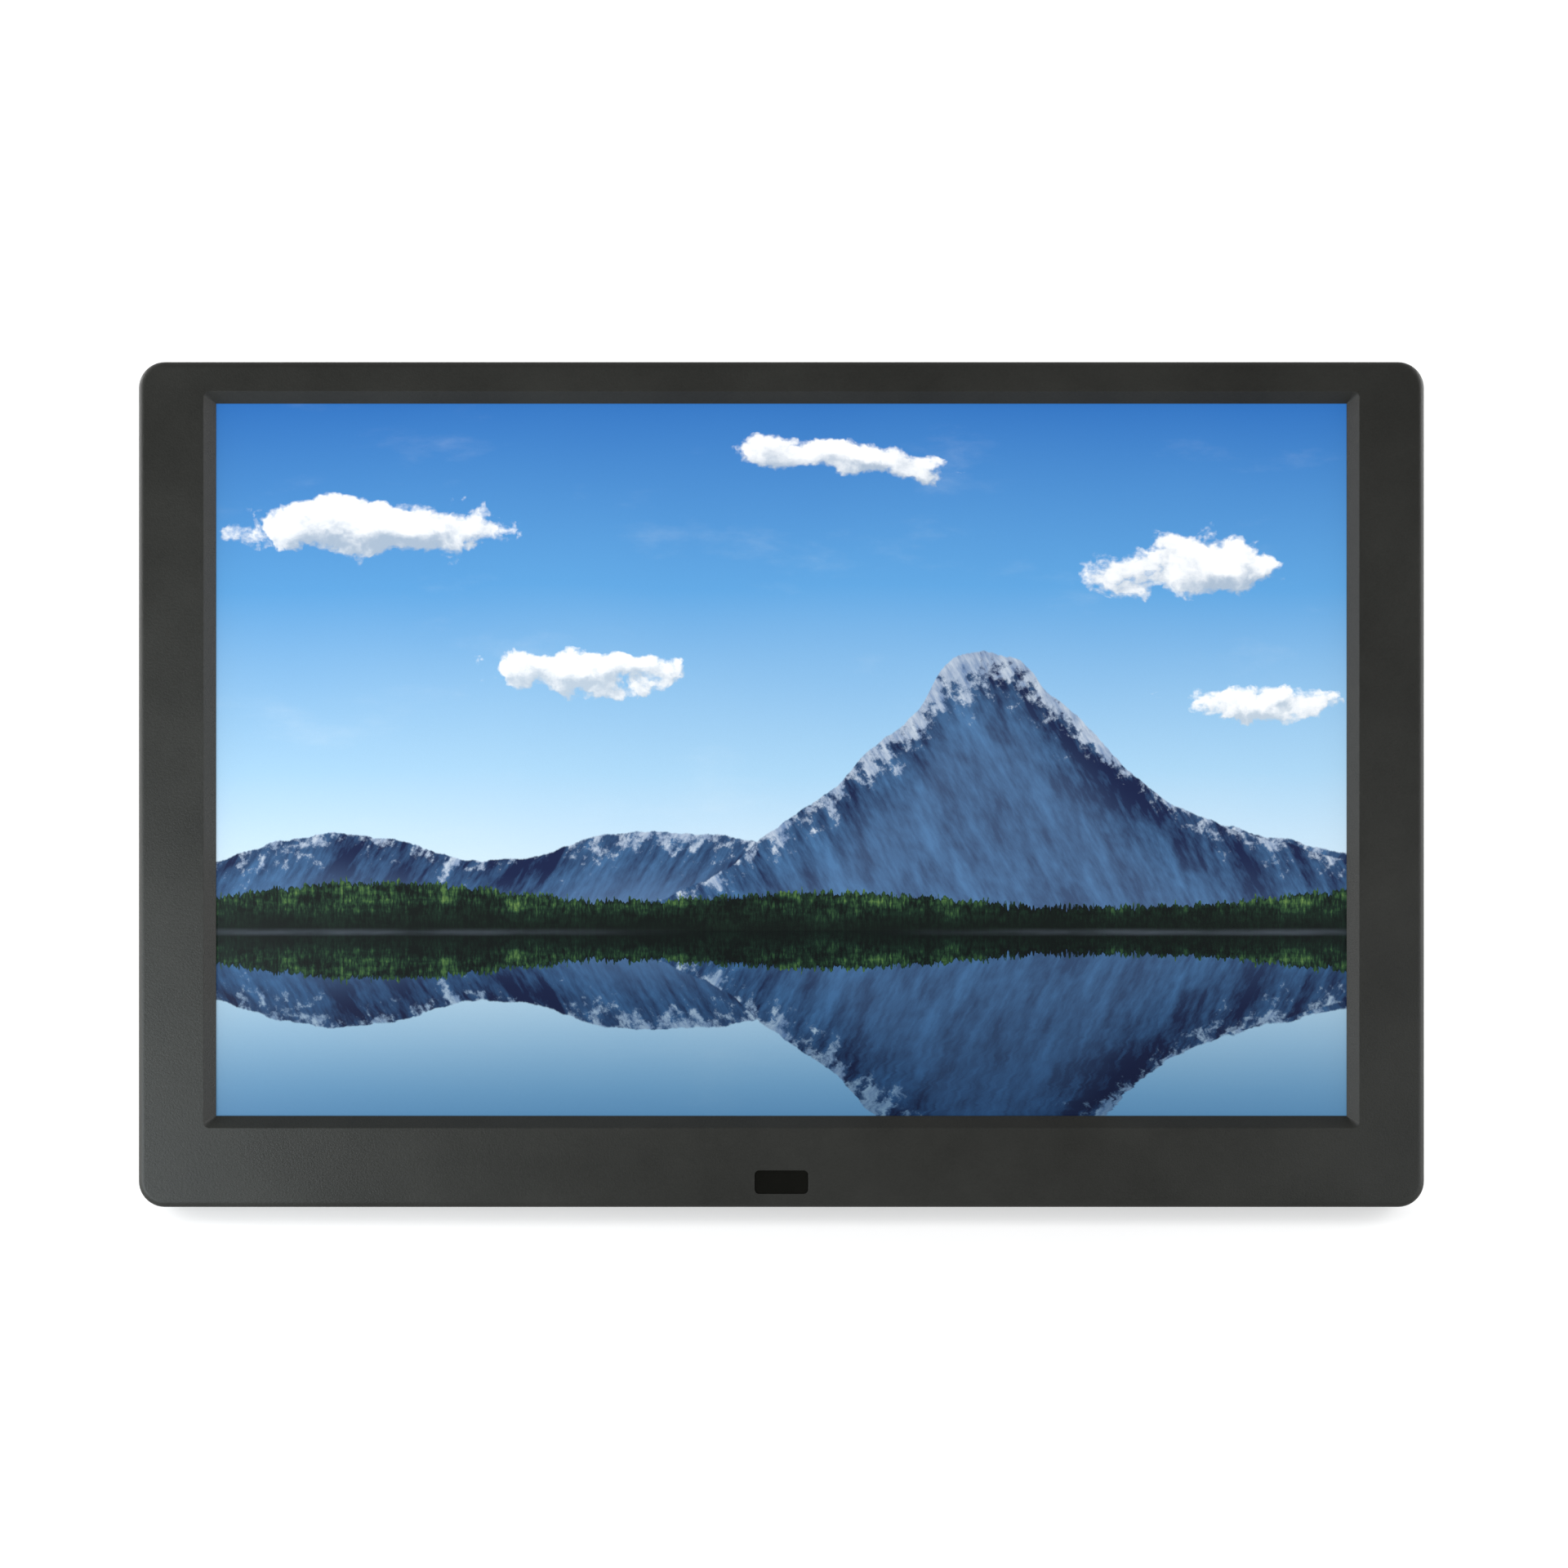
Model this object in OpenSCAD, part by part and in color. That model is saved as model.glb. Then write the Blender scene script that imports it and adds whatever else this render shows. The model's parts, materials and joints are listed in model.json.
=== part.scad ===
// Digital photo frame standing on its opened kickstand.
// Every piece is drawn in the face frame: X to the right, Y up the face, and depth
// measured backwards from the front face. The module leaned() stands the pieces up.
// The origin is on the table, under the centre of the frame's outer box.

/* [Front bezel] */
// Outer width of the frame
frame_w = 246.4; // [240:0.2:252]
// Outer height of the frame, along the face
frame_h = 162; // [160:0.5:170]
// Corner radius of the outline
corner_r = 5; // [4.6:0.2:6]
// Radius of the rounded front edge
edge_r = 1.2; // [0.6:0.2:1.6]
// Width of the picture window
window_w = 217; // [210:0.2:218]
// Height of the picture window
window_h = 136.7; // [130:0.1:137]
// Distance from the bottom edge up to the picture window
window_y = 17.4; // [17:0.1:18]
// Width of the bevel around the window
bevel_w = 2.2; // [1.4:0.1:2.4]
// Width of the infrared window
ir_w = 10.3; // [9:0.1:11]
// Height of the infrared window
ir_h = 4.5; // [4:0.1:4.8]

/* [Depths behind the front face] */
// Thickness of the front plate
front_t = 2.5; // [2.3:0.1:2.6]
// Depth of the joint between the front bezel and the back cover
joint_d = 9; // [8.6:0.2:9.4]
// Depth of the flat back face
back_d = 14; // [13.8:0.1:14.2]
// Depth of the raised middle of the back
hub_d = 24.5; // [24.4:0.1:24.8]
// Wall thickness of the back cover
wall = 2; // [1.8:0.1:2.2]

/* [Raised middle of the back] */
// Width of the raised middle
hub_w = 176; // [174:1:178]
// Bottom edge of the raised middle
hub_y0 = 18; // [16:1:19]
// Top edge of the raised middle
hub_y1 = 142; // [141:1:144]

/* [Kickstand] */
// Angle that the whole frame leans back
lean = 20; // [18:1:22]
// Angle that the stand opens from the back
stand_open = 40; // [38:1:42]
// Length of the stand from hinge axis to sole
stand_l = 88; // [84:1:90]
// Width of the stand at its hinge
stand_w = 59; // [56:1:60]
// Width of the stand at its foot
stand_foot_w = 44; // [38:1:50]
// Radius of the hinge pins
pin_r = 1.5; // [1.2:0.1:1.8]

/* [Buttons] */
// Distance between neighbouring buttons
button_pitch = 11; // [10.5:0.1:11.5]
// Radius of a button cap
button_r = 3.6; // [3:0.1:3.8]
// Travel of a button
button_travel = 0.5; // [0.3:0.1:0.6]

/* [Hidden] */
$fa = 4;
$fs = 0.3;

cut = 0.01;              // overshoot of a cut past the face it opens
gap = 0.3;               // free play between pieces that move past each other

// Bezel and case
rim_t = 1.8;
window_y1 = window_y + window_h;
ir_y = 4.84;
ir_corner = 0.9;
cover_inset = 0.4;
cover_chamfer = 3;
cover_w = frame_w - 2 * cover_inset;
cover_y0 = cover_inset;
cover_y1 = frame_h - cover_inset;
cover_r = corner_r - cover_inset;
inner_d = back_d - wall;
hub_r = 8;
hub_chamfer = 3;
hub_inner_d = hub_d - wall - 0.2;

// Case screws and their bosses
screw_x = 117.2;
screw_ys = [14, 81, 148];
boss_r = 2.2;
screw_head_r = 2.3;
screw_head_t = 1.4;
screw_r = 1.1;

// Display module
module_w = 229.5;
module_y0 = 8.5;
module_y1 = frame_h - 3.4;
gasket_w = 5;
film_overlap = 0.5;
polariser_d = 2.8;
glass_d0 = 3;
glass_d1 = 4.1;
diffuser_d = 4.35;
guide_d0 = 4.6;
guide_d1 = 6.4;
tray_d = 7.2;
tray_t = 0.5;
bracket_t = 0.7;
bracket_x = 118.1;
bracket_ys = [42, 122];

// Main board and the sockets on its right edge
board_x0 = 34;
board_x1 = 83.4;
board_y0 = 50;
board_y1 = 127;
board_d0 = 13.4;
board_d1 = 15;
post_x = 56;
neck_l = 3.5;
port_x = hub_w / 2 - 0.5;
dc_y = 58;
usb_y = 72.5;
micro_y = 85.5;
jack_y = 95;
sd_y = 112;
jack_bore_r = 1.8;
jack_l = 14;
jack_nose_r = 2.6;
dc_bore_r = 2.9;
dc_bore_l = 10;
dc_nose_r = 3.3;
dc_contact_r = 0.95;
dc_d = 18.1;
port_d = 17.7;
usb_w = 13.1;
usb_h = 5.7;
micro_w = 7.8;
micro_h = 2.7;
sd_w = 27;
sd_h = 3;
port_gap = 0.2;

// Buttons
button_y = 130;
button_x0 = -79;
button_names = ["power", "menu", "exit", "left", "up", "down", "right"];
button_proud = 0.8;
flange_r = button_r + 0.8;
flange_t = 0.6;
key_board_d0 = 16.6;
key_board_t = 1.2;
switch_t = 1.9;
plunger_t = 0.6;

// Speakers and the perforated discs behind them
speaker_x = 60;
speaker_y = 36;
speaker_r = 13;
basket_opening_r = 11.4;
basket_seat_d = 19.4;
magnet_r = 8;
magnet_d0 = 12.6;
magnet_d1 = 16;
grille_r = 13.4;
grille_d0 = 23.3;
grille_d1 = 24.3;
grille_pitch = 2.6;
grille_hole_r = 0.8;
grille_rings = 4;

// Hanger plates
hanger_x = 60;
hanger_y = 106;
hanger_w = 16;
hanger_h = 30;
hanger_t = 1.2;
keyhole_r = 4.2;
keyhole_slot_r = 2.2;
keyhole_rise = 9;
keyhole_y = -4;
hanger_screw_y = 12.8;
hanger_screw_r = 0.9;
hanger_pocket_d = 20;
hanger_pocket_floor = 1.4;

// Vents
vent_x = 60;
vent_y0 = 58;
vent_pitch = 5;
vent_count = 7;
vent_l = 34;
vent_r = 1;

// Kickstand hinge: barrel, recess and heel stop
hinge_d = 21;
barrel_r = 3.2;
leg_inner = 1;
leg_outer = 3.2;
heel = 4.2;
recess_x = 31;
recess_floor_d = 19.6;
pocket_floor_d = 17.3;
grip_w = 24;
pin_clearance = 0.05;
pin_hold = 6;
pin_reach = 11;
washer_r = 3;
pad_t = 2.5;
foot_front_d = 10.8;
foot_x = 88;
foot_w = 26;

// Where the table lies: height of its plane where it passes depth zero
table_y = -foot_front_d * tan(lean);
hinge_y = table_y + stand_l * cos(stand_open - lean) / cos(lean) + hinge_d * tan(lean);
rise = -table_y * cos(lean);
sole_slope = tan(lean);

// Front and rear ends of the standing frame, which centre it on the origin
front_reach = edge_r * (cos(lean) + sin(lean) - 1);
sole_back = stand_l + leg_outer * sole_slope;
rear_reach = hinge_d * cos(lean) + hinge_y * sin(lean)
    + leg_outer * cos(stand_open - lean) + sole_back * sin(stand_open - lean);
centre_shift = -(front_reach + rear_reach) / 2;

// ---- Placing ----

// Stands the face frame up on the table, leaned back.
module leaned()
    translate([0, centre_shift, rise]) rotate([90 - lean, 0, 0]) children();

// Places a piece of the stand, drawn folded with the hinge axis as its X axis.
module on_hinge()
    leaned() translate([0, hinge_y, -hinge_d]) rotate([stand_open, 0, 0]) children();

// ---- Shapes ----

// Solid from depth d0 back to depth d1 with the outline of its 2D child.
module layer(d0, d1)
    translate([0, 0, -d1]) linear_extrude(d1 - d0) children();

// Box between two corners, the last pair being depths.
module block(x0, x1, y0, y1, d0, d1)
    translate([x0, y0, -d1]) cube([x1 - x0, y1 - y0, d1 - d0]);

// Round solid about the depth axis, from a profile of radius by depth.
module turned()
    mirror([0, 0, 1]) rotate_extrude() children();

// Rectangle with round corners, centred on X, between two heights.
module outline(w, y0, y1, r) {
    translate([-w / 2 + r, y0]) square([w - 2 * r, y1 - y0]);
    translate([-w / 2, y0 + r]) square([w, y1 - y0 - 2 * r]);
    for (x = [-w / 2 + r, w / 2 - r], y = [y0 + r, y1 - r])
        translate([x, y]) circle(r);
}

// Slot with round ends, its axis along Y.
module slot_2d(r, y0, y1) {
    translate([-r, y0]) square([2 * r, y1 - y0]);
    for (y = [y0, y1])
        translate([0, y]) circle(r);
}

// Copies its child to both sides of the centre.
module both_sides(x)
    for (side = [-1, 1])
        translate([side * x, 0, 0]) children();

// Plate with round corners, from depth d0 to d1. The 2D child is the section of its edge:
// X runs outwards from the centre of the corner radius, and Y is the depth.
module edged_plate(w, y0, y1, r, d0, d1) {
    half_x = w / 2 - r;
    half_y = (y1 - y0) / 2 - r;
    translate([0, (y0 + y1) / 2, 0]) {
        block(-half_x, half_x, -half_y, half_y, d0, d1);
        mirror([0, 0, 1])
            for (side = [0 : 3]) {
                out = side % 2 == 0 ? half_x : half_y;
                along = side % 2 == 0 ? half_y : half_x;
                rotate([0, 0, 90 * side]) translate([out, along, 0]) {
                    rotate_extrude(angle = 90) children();
                    rotate([90, 0, 0]) linear_extrude(2 * along) children();
                }
            }
    }
}

// Edge section with a quarter round of radius e at its front corner.
module rounded_edge(r, e, d1) {
    square([r - e, d1]);
    translate([0, e]) square([r, d1 - e]);
    translate([r - e, e]) circle(e);
}

// Edge section with a 45 degree chamfer c at its back corner.
module chamfered_edge(r, d0, d1, c)
    polygon([[0, d0], [r, d0], [r, d1 - c], [r - c, d1], [0, d1]]);

// Screw with a cross recess: head from depth d down to its seat, shank to depth d_tip.
module screw(d_head, d_tip, head_r, head_t, shank_r) {
    difference() {
        layer(d_head - head_t, d_head) circle(head_r);
        for (turn = [0, 90])
            rotate([0, 0, turn])
                block(-head_r * 0.6, head_r * 0.6, -0.22, 0.22, d_head - head_t * 0.6, d_head + cut);
    }
    layer(d_tip, d_head - head_t) circle(shank_r);
}

// ---- Front bezel and infrared sensor ----

// Wedge-sided hole of the picture window, wider at the front face.
module window_hole() {
    hull() {
        layer(-cut, 0)
            outline(window_w + 2 * bevel_w, window_y - bevel_w, window_y1 + bevel_w, 1.2, $fn = 32);
        layer(front_t - 0.3, front_t - 0.2)
            translate([-window_w / 2, window_y]) square([window_w, window_h]);
    }
    block(-window_w / 2, window_w / 2, window_y, window_y1, 0, front_t + cut);
}

module front_bezel()
    color([0.2, 0.2, 0.2]) leaned() {
        difference() {
            edged_plate(frame_w, 0, frame_h, corner_r, 0, joint_d)
                rounded_edge(corner_r, edge_r, joint_d);
            layer(front_t, joint_d + cut)
                outline(frame_w - 2 * rim_t, rim_t, frame_h - rim_t, corner_r - rim_t);
            window_hole();
            layer(-cut, front_t + cut) translate([0, ir_y])
                outline(ir_w, -ir_h / 2, ir_h / 2, ir_corner);
        }
        for (side = [-1, 1]) {
            for (y = screw_ys)
                boss(side * screw_x, y, joint_d, screw_r);
            for (y = bracket_ys)
                boss(side * bracket_x, y, tray_d, 0.8);
        }
    }

// Boss with a pilot hole, standing on the back of the front plate.
module boss(x, y, top_d, hole_r)
    translate([x, y, 0]) difference() {
        layer(front_t, top_d) circle(boss_r);
        layer(front_t + 1, top_d + cut) circle(hole_r);
    }

module ir_window()
    color([0.05, 0.05, 0.04]) leaned() translate([0, ir_y, 0]) {
        layer(0.15, front_t) outline(ir_w, -ir_h / 2, ir_h / 2, ir_corner);
        layer(front_t, front_t + 0.6) outline(ir_w + 3, -2.9, 2.9, ir_corner);
    }

// Domed receiver in its square package.
module ir_receiver()
    color([0.12, 0.12, 0.13]) leaned() translate([0, ir_y, 0]) {
        block(-2.8, 2.8, -2.6, 2.6, 4.4, 6);
        translate([0, 0, -4.6]) intersection() {
            sphere(1.4);
            translate([-2, -2, 0]) cube([4, 4, 2]);
        }
    }

module sensor_board()
    color([0.1, 0.35, 0.2]) leaned()
        block(-12, 12, 2.4, 8, 6, 6.8);

// Flat lead from the sensor board up behind the display to the main board.
module sensor_lead()
    color([0.85, 0.85, 0.8]) leaned() {
        block(6, 10, 3, 60, tray_d + 0.4, tray_d + 0.6);
        block(6, 10, 3, 3.8, 6.8, tray_d + 0.6);
        block(10, 36, 56, 60, tray_d + 0.4, tray_d + 0.6);
        block(35.8, 36, 56, 60, tray_d + 0.6, board_d0);
    }

// ---- Display module ----

module lcd_gasket()
    color([0.08, 0.08, 0.08]) leaned() difference() {
        outer_w = window_w + 1.4;
        block(-outer_w / 2 - gasket_w, outer_w / 2 + gasket_w, 10, module_y1 - 0.2, front_t, glass_d0);
        block(-outer_w / 2, outer_w / 2, window_y - 0.7, window_y1 + 0.7, front_t - cut, glass_d0 + cut);
    }

// Front film of the display, which carries the picture.
module display_surface()
    color([0.2, 0.5, 0.7]) leaned() {
        half = window_w / 2 + film_overlap;
        block(-half, half, window_y - film_overlap, window_y1 + film_overlap, polariser_d, glass_d0);
    }

module film(d0, d1, inset)
    leaned() block(-module_w / 2 + inset, module_w / 2 - inset, module_y0 + inset, module_y1 - inset, d0, d1);

module lcd_cell()
    color([0.1, 0.1, 0.14]) film(glass_d0, glass_d1, 1.2);

module prism_sheet()
    color([0.85, 0.87, 0.9]) film(glass_d1, diffuser_d, 1.4);

module diffuser_sheet()
    color([0.95, 0.95, 0.95]) film(diffuser_d, guide_d0, 1.4);

module light_guide()
    color([0.9, 0.95, 0.95]) leaned()
        block(-module_w / 2 + 1.6, module_w / 2 - 1.6, module_y0 + 3.2, module_y1 - 1.6, guide_d0, guide_d1);

module reflector_sheet()
    color([0.98, 0.98, 0.98]) film(guide_d1, tray_d - tray_t, 1.4);

// Row of light sources on a narrow board along the light guide's lower edge.
module led_strip()
    color([0.95, 0.9, 0.6]) leaned() {
        block(-100, 100, module_y0 + 1, module_y0 + 1.8, guide_d0, guide_d1);
        for (x = [-93 : 6.2 : 93.5])
            block(x - 1.5, x + 1.5, module_y0 + 1.8, module_y0 + 3, guide_d0 + 0.4, guide_d1 - 0.4);
    }

// Shallow sheet-metal pan that holds the display module together.
module lcd_tray()
    color([0.75, 0.76, 0.78]) leaned() difference() {
        block(-module_w / 2, module_w / 2, module_y0, module_y1, glass_d1, tray_d);
        block(-module_w / 2 + tray_t, module_w / 2 - tray_t, module_y0 + tray_t, module_y1 - tray_t,
            glass_d1 - cut, tray_d - tray_t);
    }

// Four tabs that clamp the tray against the bezel.
module lcd_brackets()
    color([0.75, 0.75, 0.72]) leaned()
        for (side = [0, 1], y = bracket_ys)
            mirror([side, 0, 0]) translate([0, y, 0]) difference() {
                block(module_w / 2 - 8, bracket_x + boss_r, -4, 4, tray_d, tray_d + bracket_t);
                translate([bracket_x, 0, 0])
                    layer(tray_d - cut, tray_d + bracket_t + cut) circle(0.85);
            }

module bracket_screws()
    color([0.7, 0.7, 0.72]) leaned() both_sides(bracket_x)
        for (y = bracket_ys)
            translate([0, y, 0])
                screw(tray_d + bracket_t + 0.8, front_t + 1.4, 1.6, 0.8, 0.78);

// Flexible circuit from the display's lower edge, round the tray and up to the main board.
module lcd_ribbon()
    color([0.75, 0.5, 0.2]) leaned() {
        block(46, 66, module_y0 - 0.5, module_y0 - 0.3, glass_d1 - 0.3, tray_d + 0.4);
        block(46, 66, module_y0 - 0.3, module_y0 + 1.2, glass_d1 - 0.3, glass_d1 - 0.1);
        block(46, 66, module_y0 - 0.5, 62, tray_d + 0.2, tray_d + 0.4);
        block(46, 66, 61.8, 62, tray_d + 0.4, board_d0 - 1);
        block(45, 67, 60, 64, board_d0 - 1, board_d0);
    }

// ---- Electronics ----

module board_posts()
    for (x = [board_x0 + 3.4, post_x], y = [board_y0 + 3.4, board_y1 - 3.4])
        translate([x, y, 0]) children();

module main_board()
    color([0.05, 0.3, 0.15]) leaned() difference() {
        block(board_x0, board_x1, board_y0, board_y1, board_d0, board_d1);
        board_posts() layer(board_d0 - cut, board_d1 + cut) circle(1.2);
    }

module board_screws()
    color([0.7, 0.7, 0.72]) leaned() board_posts()
        mirror([0, 0, 1]) translate([0, 0, 2 * board_d0])
            screw(board_d0 + 1, board_d0 - 5, 2.1, 1, 1.1);

module shield_can()
    color([0.8, 0.8, 0.82]) leaned()
        block(42, 60, 78, 96, board_d1, board_d1 + 2.2);

// Memory, power and audio chips around the shield can.
module board_chips()
    color([0.08, 0.08, 0.09]) leaned() {
        chips = [[38, 101, 9, 8], [42, 66, 9, 7], [49.5, 102, 8, 6], [38.5, 59, 5, 5], [53, 66, 5, 4]];
        for (chip = chips)
            block(chip[0], chip[0] + chip[2], chip[1], chip[1] + chip[3], board_d1, board_d1 + 1.1);
    }

// Can capacitors and coils near the power inlet.
module board_capacitors()
    color([0.7, 0.72, 0.75]) leaned() {
        cans = [[66.5, 55, 2.5], [66.5, 61.5, 2.5], [61, 62, 2], [48.5, 58, 3]];
        for (can = cans)
            translate([can[0], can[1], 0]) layer(board_d1, board_d1 + 5) circle(can[2]);
    }

// Cylinder along X from x0, at a height and a depth.
module along_x(x0, length, r, y, d)
    translate([x0, y, -d]) rotate([0, 90, 0]) cylinder(h = length, r = r);

// Socket shell lying along X with its open mouth at the right end.
module socket_shell(y, w, d0, h, l, t) {
    difference() {
        block(port_x - l, port_x, y - w / 2, y + w / 2, d0, d0 + h);
        block(port_x - l + 1, port_x + cut, y - w / 2 + t, y + w / 2 - t, d0 + t, d0 + h - t);
    }
}

module usb_port()
    color([0.8, 0.8, 0.82]) leaned() {
        socket_shell(usb_y, usb_w, board_d1, usb_h, 14, 0.3);
        block(port_x - 13, port_x - 0.8, usb_y - 5.6, usb_y + 5.6, board_d1 + 3, board_d1 + 4.8);
    }

module micro_usb_port()
    color([0.8, 0.8, 0.82]) leaned() {
        socket_shell(micro_y, micro_w, board_d1, micro_h, 5.5, 0.25);
        block(port_x - 4.5, port_x - 0.5, micro_y - 2, micro_y + 2, board_d1 + 1.1, board_d1 + 1.7);
    }

module sd_slot()
    color([0.78, 0.78, 0.8]) leaned()
        socket_shell(sd_y, sd_w, board_d1, sd_h, 28, 0.3);

// Stereo socket: a block with a round nose and a through bore.
module headphone_jack()
    color([0.1, 0.1, 0.1]) leaned() difference() {
        union() {
            block(port_x - jack_l, port_x - neck_l, jack_y - 3, jack_y + 3, board_d1, port_d + 3);
            along_x(port_x - neck_l, neck_l, jack_nose_r, jack_y, port_d);
        }
        along_x(port_x - jack_l - cut, jack_l + 2 * cut, jack_bore_r, jack_y, port_d);
    }

// Power inlet: a block with a round nose, a blind bore and a centre contact.
module dc_jack()
    color([0.1, 0.1, 0.1]) leaned() {
        difference() {
            union() {
                block(port_x - 13, port_x - neck_l, dc_y - 4.4, dc_y + 4.4, board_d1, dc_d + dc_nose_r);
                along_x(port_x - neck_l, neck_l, dc_nose_r, dc_y, dc_d);
            }
            along_x(port_x - dc_bore_l, dc_bore_l + cut, dc_bore_r, dc_y, dc_d);
        }
        along_x(port_x - dc_bore_l - cut, dc_bore_l - 1, dc_contact_r, dc_y, dc_d);
    }

// ---- Buttons ----

module key_posts()
    for (x = [button_x0 - 2.8, -6.6])
        translate([x, button_y + 6.2, 0]) children();

module key_board()
    color([0.05, 0.3, 0.15]) leaned() difference() {
        block(button_x0 - 4.8, -4, button_y - 5, button_y + 8.3, key_board_d0, key_board_d0 + key_board_t);
        key_posts() layer(key_board_d0 - cut, key_board_d0 + key_board_t + cut) circle(0.9);
    }

module key_board_screws()
    color([0.7, 0.7, 0.72]) leaned() key_posts()
        mirror([0, 0, 1]) translate([0, 0, 2 * key_board_d0])
            screw(key_board_d0 + 0.8, key_board_d0 - 4, 1.6, 0.8, 0.85);

module tact_switches()
    color([0.2, 0.2, 0.22]) leaned()
        for (i = [0 : len(button_names) - 1])
            translate([button_x0 + i * button_pitch, button_y, 0]) {
                top_d = key_board_d0 + key_board_t + switch_t;
                block(-2.6, 2.6, -2.6, 2.6, key_board_d0 + key_board_t, top_d);
                layer(top_d, top_d + plunger_t) circle(1.2);
            }

// Flat lead between the key board and the main board.
module key_ribbon()
    color([0.85, 0.85, 0.8]) leaned() {
        block(-14, -8, 112, button_y - 2, key_board_d0 - 0.2, key_board_d0);
        block(-14, -8, 112, 112.2, board_d0 - 1.2, key_board_d0 - 0.2);
        block(-14, 38, 106.2, 112.2, board_d0 - 1.4, board_d0 - 1.2);
        block(36, 38, 106.2, 112.2, board_d0 - 1.2, board_d0);
    }

// Raised symbol on a button cap, from plain bars and triangles.
module button_symbol(name) {
    if (name == "power")
        difference() {
            circle(1.3);
            circle(0.85);
        }
    if (name == "menu")
        for (y = [-0.9, 0, 0.9])
            translate([-1.2, y - 0.2]) square([2.4, 0.4]);
    if (name == "exit")
        for (turn = [45, 135])
            rotate(turn) translate([-1.4, -0.22]) square([2.8, 0.44]);
    turns = [["left", 0], ["up", -90], ["down", 90], ["right", 180]];
    for (t = turns)
        if (t[0] == name)
            rotate(t[1]) polygon([[1.4, 0], [-0.9, 1.3], [-0.9, -1.3]]);
}

// Cap with a flange inside the cover and a stem over its switch.
module button(index) {
    cap_d = hub_d + button_proud;
    flange_d = hub_inner_d - gap;
    stem_d = key_board_d0 + key_board_t + switch_t + plunger_t + button_travel + 0.1;
    color([0.12, 0.12, 0.12]) leaned() translate([button_x0 + index * button_pitch, button_y, 0]) {
        turned() polygon([[0, stem_d], [1.6, stem_d], [1.6, flange_d - flange_t],
            [flange_r, flange_d - flange_t], [flange_r, flange_d], [button_r, flange_d],
            [button_r, cap_d - 0.4], [button_r - 0.4, cap_d], [0, cap_d]]);
        layer(cap_d, cap_d + 0.15) button_symbol(button_names[index]);
    }
}

module button_power() button(0);
module button_menu() button(1);
module button_exit() button(2);
module button_left() button(3);
module button_up() button(4);
module button_down() button(5);
module button_right() button(6);

// ---- Speakers ----

// Places a speaker, its sound going out of the back.
module at_speaker(side)
    leaned() translate([side * speaker_x, speaker_y, 0]) children();

module speaker_basket(side)
    color([0.15, 0.15, 0.16]) at_speaker(side) turned()
        polygon([[magnet_r - 0.8, magnet_d1], [magnet_r + 0.2, magnet_d1], [speaker_r - 1.2, basket_seat_d],
            [speaker_r, basket_seat_d], [speaker_r, hub_inner_d], [basket_opening_r, hub_inner_d],
            [basket_opening_r, basket_seat_d + 1], [magnet_r - 0.8, magnet_d1 + 1]]);

// Magnet cup with the pole that reaches into the voice coil.
module speaker_magnet(side)
    color([0.6, 0.62, 0.65]) at_speaker(side) {
        layer(magnet_d0, magnet_d1) circle(magnet_r);
        layer(magnet_d1, magnet_d1 + 1.8) circle(4);
    }

// Cone with its rolled surround, hung in the basket.
module speaker_cone(side)
    color([0.08, 0.08, 0.09]) at_speaker(side) turned()
        polygon([[0, 18.6], [4.2, 18.6], [9, 21], [9.6, 21.4], [10.4, 21.4], [11.2, 20.8],
            [11.2, 21.2], [10.4, 21.8], [9.4, 21.8], [8.8, 21.4], [4, 19.1], [0, 19.1]]);

// Perforated steel disc that covers a speaker in its seat in the back.
module speaker_grille(side)
    color([0.1, 0.1, 0.1]) at_speaker(side) layer(grille_d0, grille_d1) difference() {
        circle(grille_r);
        for (row = [-grille_rings : grille_rings], col = [-grille_rings : grille_rings])
            if (abs(row + col) <= grille_rings)
                translate([(col + row / 2) * grille_pitch, row * grille_pitch * sin(60)])
                    circle(grille_hole_r);
    }

module speaker_basket_left() speaker_basket(-1);
module speaker_basket_right() speaker_basket(1);
module speaker_magnet_left() speaker_magnet(-1);
module speaker_magnet_right() speaker_magnet(1);
module speaker_cone_left() speaker_cone(-1);
module speaker_cone_right() speaker_cone(1);
module speaker_grille_left() speaker_grille(-1);
module speaker_grille_right() speaker_grille(1);

// Pairs of wires from each speaker's magnet end to the main board.
module speaker_leads()
    color([0.7, 0.1, 0.1]) leaned()
        for (i = [0, 1]) {
            x_left = -speaker_x - 1.6 * i;
            x_board = 44 + 1.6 * i;
            y_run = 46.4 + 1.6 * i;
            wire([[x_left, speaker_y + 5, 12.2], [x_left, speaker_y + 5, 11.4], [x_left, y_run, 11.4],
                [x_board, y_run, 11.4], [x_board, board_y0 + 4, 11.4], [x_board, board_y0 + 4, board_d0]]);
            x_right = speaker_x + 2 - 1.6 * i;
            wire([[x_right, speaker_y + 5, 12.2], [x_right, speaker_y + 5, 11.4],
                [x_right, board_y0 + 4, 11.4], [x_right, board_y0 + 4, board_d0]]);
        }

// Square-section wire along a path of X, Y and depth points, each leg along one axis.
module wire(path) {
    t = 0.4;
    for (leg = [1 : len(path) - 1]) {
        a = path[leg - 1];
        b = path[leg];
        block(min(a[0], b[0]) - t, max(a[0], b[0]) + t, min(a[1], b[1]) - t, max(a[1], b[1]) + t,
            min(a[2], b[2]) - t, max(a[2], b[2]) + (leg == len(path) - 1 ? 0 : t));
    }
}

// ---- Back cover ----

// Outer form of the cover: chamfered flat back with its raised middle.
module cover_outside() {
    edged_plate(cover_w, cover_y0, cover_y1, cover_r, joint_d, back_d)
        chamfered_edge(cover_r, joint_d, back_d, cover_chamfer);
    edged_plate(hub_w, hub_y0, hub_y1, hub_r, back_d - 1, hub_d)
        chamfered_edge(hub_r, back_d - 1, hub_d, hub_chamfer);
}

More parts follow.
